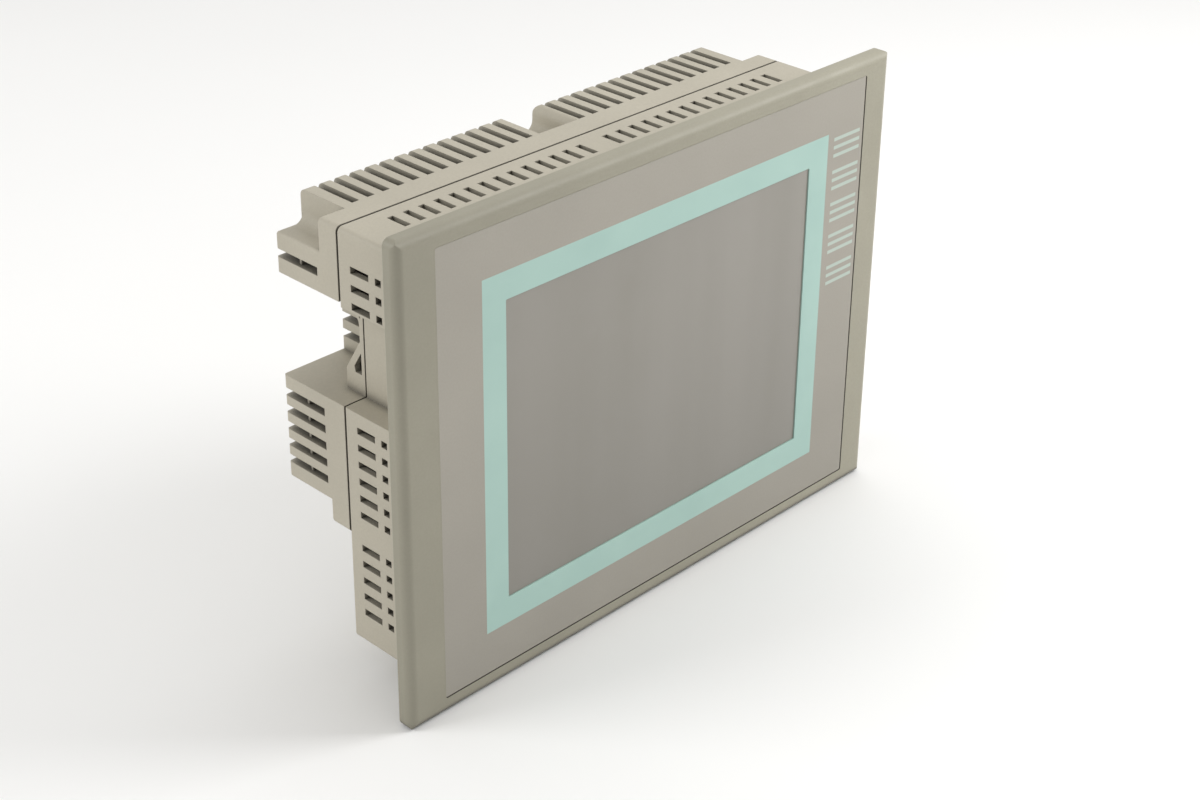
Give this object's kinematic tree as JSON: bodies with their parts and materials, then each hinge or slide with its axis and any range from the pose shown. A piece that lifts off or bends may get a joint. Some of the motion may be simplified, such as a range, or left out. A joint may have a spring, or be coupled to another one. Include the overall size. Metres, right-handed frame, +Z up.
{
  "type": "hmi touch panel",
  "caption": "Panel-mounted touch operator terminal: framed display, film front, vented plastic housing with finned rear cover, clamp recesses, ports, plug and card.",
  "frame": {"origin": "centre of the panel cut-out, on the plane where the front frame seats on the panel", "axes": "+X to the operator's right, +Y back into the cabinet, +Z up"},
  "size_m": [0.24, 0.0745, 0.18],
  "materials": {
    "frame_plastic": "fine spark-eroded moulding texture, satin",
    "housing_plastic": "fine moulding texture, matt",
    "printed_film": "fine-grained polyester film, aqua border printed on it, satin",
    "touch_film": "anti-glare hard-coated polyester, semi-gloss grey",
    "clear_glass": "clear float glass",
    "lcd_glass": "dark polarised glass",
    "diffuser": "milky acrylic",
    "lamp_glass": "white coated lamp tube",
    "seal_rubber": "black cellular rubber",
    "flex_circuit": "amber polyimide",
    "white_plastic": "natural nylon",
    "black_plastic": "black moulded plastic",
    "plated_steel": "zinc- or tin-plated sheet steel",
    "screw_steel": "zinc-plated steel",
    "circuit_board": "green solder mask",
    "wire_sleeve": "pink silicone lead",
    "aluminium": "extruded, clear anodised",
    "capacitor_sleeve": "shrink sleeve",
    "cell_steel": "nickel-plated steel",
    "connector_green": "green moulded polyamide",
    "contact_brass": "gold-flashed brass",
    "dip_plastic": "blue moulded plastic",
    "card_plastic": "black moulded plastic",
    "earth_brass": "bare brass"
  },
  "bodies": {
    "root": {"backlight_lamps": "lamp_glass", "board_chips": "black_plastic", "board_screws": "screw_steel", "board_standoffs": "screw_steel", "cable_sockets": "white_plastic", "card_reader": "plated_steel", "carrier_plate": "plated_steel", "carrier_screws": "screw_steel", "cell_holder": "black_plastic", "coin_cell": "cell_steel", "diffuser_sheet": "diffuser", "dip_switch_body": "dip_plastic", "display_cable": "flex_circuit", "earth_nut": "earth_brass", "earth_stud": "earth_brass", "earth_washer": "earth_brass", "ethernet_contacts": "contact_brass", "ethernet_jack": "plated_steel", "flange_screws": "screw_steel", "front_film": "printed_film", "front_frame": "frame_plastic", "front_housing": "housing_plastic", "heat_sink": "aluminium", "inverter_board": "circuit_board", "inverter_parts": "black_plastic", "inverter_screws": "screw_steel", "inverter_spacers": "screw_steel", "lamp_holders": "white_plastic", "lamp_leads": "wire_sleeve", "lcd_frame": "plated_steel", "lcd_glass": "lcd_glass", "lcd_screws": "screw_steel", "lcd_spacers": "plated_steel", "lcd_tray": "plated_steel", "light_guide": "diffuser", "main_board": "circuit_board", "panel_seal": "seal_rubber", "power_capacitors": "capacitor_sleeve", "power_header": "connector_green", "power_inductor": "black_plastic", "power_pins": "contact_brass", "processor": "black_plastic", "rear_cover": "housing_plastic", "rear_screws": "screw_steel", "serial_insert": "black_plastic", "serial_jackscrews": "screw_steel", "serial_shell": "plated_steel", "touch_film": "touch_film", "touch_glass": "clear_glass", "touch_socket": "white_plastic", "touch_tail": "flex_circuit", "usb_shells": "plated_steel", "usb_tongues": "white_plastic"},
    "memory_card": {"memory_card": "card_plastic"},
    "terminal_block": {"terminal_block": "connector_green", "terminal_screws": "screw_steel"},
    "dip_slider_1": {"dip_slider_1": "white_plastic"},
    "dip_slider_2": {"dip_slider_2": "white_plastic"},
    "dip_slider_3": {"dip_slider_3": "white_plastic"},
    "dip_slider_4": {"dip_slider_4": "white_plastic"}
  },
  "joints": [
    {"name": "memory_card_slide", "type": "slide", "parent": "root", "child": "memory_card", "axis": [1, 0, 0], "range_m": [0, 0.034]},
    {"name": "terminal_block_slide", "type": "slide", "parent": "root", "child": "terminal_block", "axis": [0, 0, -1], "range_m": [0, 0.014]},
    {"name": "dip_slider_1_slide", "type": "slide", "parent": "root", "child": "dip_slider_1", "axis": [0, 1, 0], "range_m": [0, 0.0013]},
    {"name": "dip_slider_2_slide", "type": "slide", "parent": "root", "child": "dip_slider_2", "axis": [0, 1, 0], "range_m": [0, 0.0013]},
    {"name": "dip_slider_3_slide", "type": "slide", "parent": "root", "child": "dip_slider_3", "axis": [0, 1, 0], "range_m": [0, 0.0013]},
    {"name": "dip_slider_4_slide", "type": "slide", "parent": "root", "child": "dip_slider_4", "axis": [0, 1, 0], "range_m": [0, 0.0013]}
  ]
}
